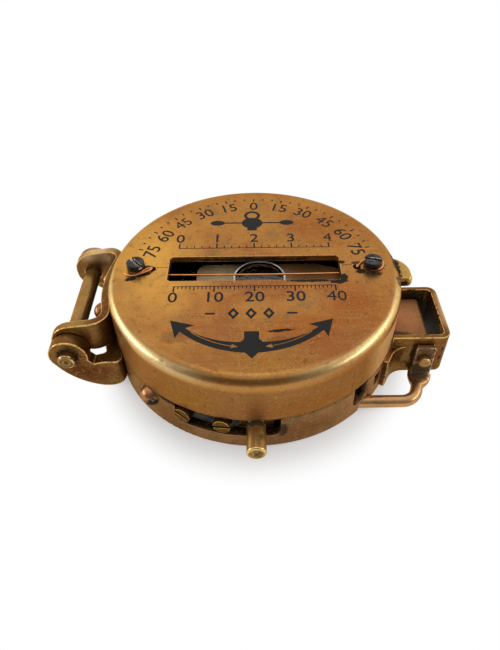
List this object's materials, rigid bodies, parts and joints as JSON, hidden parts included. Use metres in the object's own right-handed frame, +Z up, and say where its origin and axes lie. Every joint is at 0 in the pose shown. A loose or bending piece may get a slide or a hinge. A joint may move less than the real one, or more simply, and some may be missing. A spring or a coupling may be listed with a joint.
{
  "type": "pocket compass",
  "caption": "Round brass pocket compass with a hinged lid, sighting window and wire, a lens arm under the lid, a wire thumb bail and a push rod that brakes the card.",
  "frame": {"origin": "middle of the case's underside, on the flat face of the centre boss, on the body's own axis", "axes": "+Z up through the closed lid, +X from the lid hinge towards the bail, -Y towards the push rod"},
  "size_m": [0.1007, 0.0818, 0.0267],
  "materials": {
    "aged_brass": "brushed, aged warm, with darker patina in the corners",
    "bracket_brass": "aged, browner than the body",
    "pin_brass": "worn, slightly polished ends",
    "bail_brass": "aged, dark where it is flattened",
    "arm_brass": "aged",
    "inner_brass": "clean, satin",
    "scale_brass": "satin with filled engraving",
    "bright_brass": "handled bright",
    "copper": "reddish rivet metal, worn, dark at the foot",
    "copper_wire": "bright reddish wire",
    "black_steel": "blackened steel, slightly worn",
    "dark_plate": "dark greenish black patina",
    "spring_steel": "bright steel",
    "magnet_steel": "blued steel",
    "card_face": "black card face with pale plain marks",
    "black_paint": "matt black paint inside the body",
    "jewel": "polished synthetic jewel",
    "lens_glass": "clear, bright bevel",
    "dial_glass": "clear flat glass"
  },
  "bodies": {
    "case": {"case_shell": "aged_brass", "compass_bowl": "black_paint", "dial_glass": "dial_glass", "glass_bezel": "black_paint", "chapter_ring": "scale_brass", "chapter_posts": "inner_brass", "pivot_post": "inner_brass", "pivot_point": "spring_steel", "rod_spring": "spring_steel", "guide_block": "inner_brass", "clamp_plate": "dark_plate", "clamp_screws": "bright_brass", "brake_pin": "spring_steel", "domed_stud": "copper", "lower_hinge_bracket": "bracket_brass", "lower_rivets": "copper", "hinge_pin": "pin_brass", "box_bracket": "bracket_brass", "box_pin": "pin_brass"},
    "lid": {"lid_shell": "aged_brass", "sight_wire": "copper_wire", "wire_screws": "black_steel", "thumb_tab": "aged_brass", "upper_hinge_bracket": "bracket_brass", "upper_rivets": "copper"},
    "lens_arm": {"lens_arm": "arm_brass", "lens": "lens_glass"},
    "bail": {"thumb_bail": "bail_brass"},
    "rod": {"push_rod": "bright_brass", "rod_clip": "spring_steel"},
    "brake": {"brake_lever": "inner_brass"},
    "card": {"compass_card": "card_face", "needle_magnet": "magnet_steel", "card_hub": "bright_brass", "pivot_jewel": "jewel"}
  },
  "joints": [
    {"name": "lid_hinge", "type": "hinge", "parent": "case", "child": "lid", "pos_m": [-0.0464, 0, 0.0121], "axis": [0, -1, 0], "range_deg": [0, 165]},
    {"name": "lens_arm_hinge", "type": "hinge", "parent": "case", "child": "lens_arm", "pos_m": [0.0429, 0, 0.0076], "axis": [0, 1, 0], "range_deg": [0, 83]},
    {"name": "bail_hinge", "type": "hinge", "parent": "case", "child": "bail", "pos_m": [0.0429, 0, 0.0076], "axis": [0, -1, 0], "range_deg": [0, 175]},
    {"name": "rod_push", "type": "slide", "parent": "case", "child": "rod", "axis": [0, 1, 0], "range_m": [0, 0.001], "stiffness_N_per_m": 400, "springref_m": -0.001, "deforming": ["rod_spring"]},
    {"name": "brake_swing", "type": "hinge", "parent": "case", "child": "brake", "pos_m": [-0.01476, -0.02189, 0.008], "axis": [0, 0, 1], "range_deg": [0, 3.9]},
    {"name": "card_spin", "type": "hinge", "parent": "case", "child": "card", "pos_m": [0, 0, 0.0111], "axis": [0, 0, 1], "continuous": true}
  ],
  "couplings": [
    {"joint": "lens_arm_hinge", "follows": "lid_hinge", "ratio": 0.5},
    {"joint": "brake_swing", "follows": "rod_push", "rad_per_m": 67.6}
  ]
}
